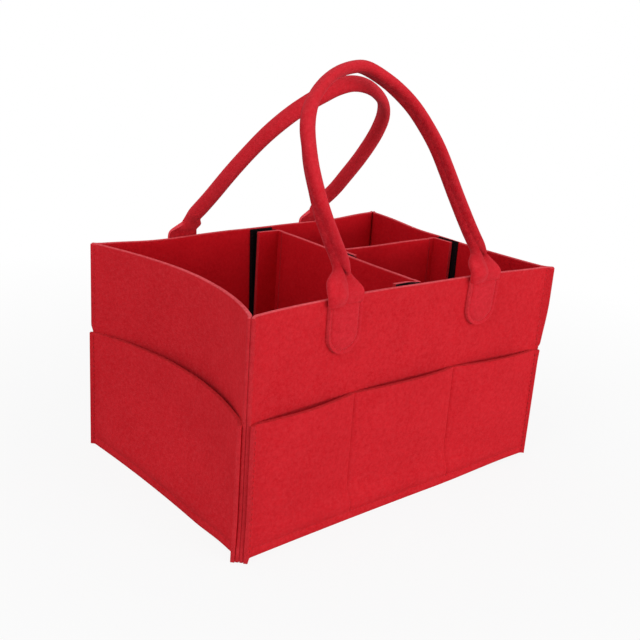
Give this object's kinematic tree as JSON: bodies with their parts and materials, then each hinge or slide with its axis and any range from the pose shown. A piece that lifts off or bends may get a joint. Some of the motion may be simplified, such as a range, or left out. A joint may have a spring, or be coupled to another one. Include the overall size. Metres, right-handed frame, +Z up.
{
  "type": "diaper caddy",
  "caption": "Open felt caddy with outer pockets, rolled carrying handles that swing, and upright dividers that lift out and have fold-out flaps.",
  "frame": {"origin": "centre of the caddy's footprint, on the surface that it stands on", "axes": "+X along the long walls towards the end with the long divider, +Y from the front wall to the back wall, +Z up"},
  "size_m": [0.327, 0.236, 0.3409],
  "materials": {
    "felt": "thick pressed red felt with a short matt nap",
    "closure_tape": "black woven hook-and-loop tape",
    "cotton": "plain cotton cord that fills the rolled handles"
  },
  "bodies": {
    "caddy": {"bottom_panel": "felt", "front_wall": "felt", "right_wall": "felt", "back_wall": "felt", "left_wall": "felt", "front_pocket": "felt", "right_pocket": "felt", "back_pocket": "felt", "left_pocket": "felt", "front_handle_left_tab": "felt", "front_handle_right_tab": "felt", "back_handle_left_tab": "felt", "back_handle_right_tab": "felt", "front_loop_tape": "closure_tape", "back_loop_tape": "closure_tape", "right_loop_tape": "closure_tape"},
    "front_handle": {"front_handle_cover": "felt", "front_handle_core": "cotton"},
    "back_handle": {"back_handle_cover": "felt", "back_handle_core": "cotton"},
    "cross_divider": {"cross_divider_panel": "felt", "cross_divider_loop_tape": "closure_tape"},
    "cross_front_flap": {"cross_divider_front_flap": "felt", "cross_front_hook_tape": "closure_tape"},
    "cross_back_flap": {"cross_divider_back_flap": "felt", "cross_back_hook_tape": "closure_tape"},
    "long_divider": {"long_divider_panel": "felt"},
    "long_inner_flap": {"long_divider_inner_flap": "felt", "long_inner_hook_tape": "closure_tape"},
    "long_outer_flap": {"long_divider_outer_flap": "felt", "long_outer_hook_tape": "closure_tape"}
  },
  "joints": [
    {"name": "front_handle_swing", "type": "hinge", "parent": "caddy", "child": "front_handle", "pos_m": [0, -0.11112, 0.18315], "axis": [0.9996, -0.0271, 0], "range_deg": [0, 165]},
    {"name": "back_handle_swing", "type": "hinge", "parent": "caddy", "child": "back_handle", "pos_m": [0, 0.11382, 0.18315], "axis": [1, 0.0075, 0], "range_deg": [-165, 0]},
    {"name": "cross_divider_lift", "type": "slide", "parent": "caddy", "child": "cross_divider", "axis": [0, 0, 1], "range_m": [0, 0.125]},
    {"name": "long_divider_lift", "type": "slide", "parent": "caddy", "child": "long_divider", "axis": [0, 0, 1], "range_m": [0, 0.105]},
    {"name": "cross_front_flap_fold", "type": "hinge", "parent": "cross_divider", "child": "cross_front_flap", "pos_m": [0.01395, -0.0934, 0.0956], "axis": [0, 0, 1], "range_deg": [-80, 0]},
    {"name": "cross_back_flap_fold", "type": "hinge", "parent": "cross_divider", "child": "cross_back_flap", "pos_m": [0.02235, 0.09595, 0.0956], "axis": [0, 0, 1], "range_deg": [0, 80]},
    {"name": "long_inner_flap_fold", "type": "hinge", "parent": "long_divider", "child": "long_inner_flap", "pos_m": [0.02806, 0.01135, 0.0956], "axis": [0, 0, 1], "range_deg": [0, 80]},
    {"name": "long_outer_flap_fold", "type": "hinge", "parent": "long_divider", "child": "long_outer_flap", "pos_m": [0.14487, 0.01135, 0.0956], "axis": [0, 0, 1], "range_deg": [-80, 0]}
  ]
}
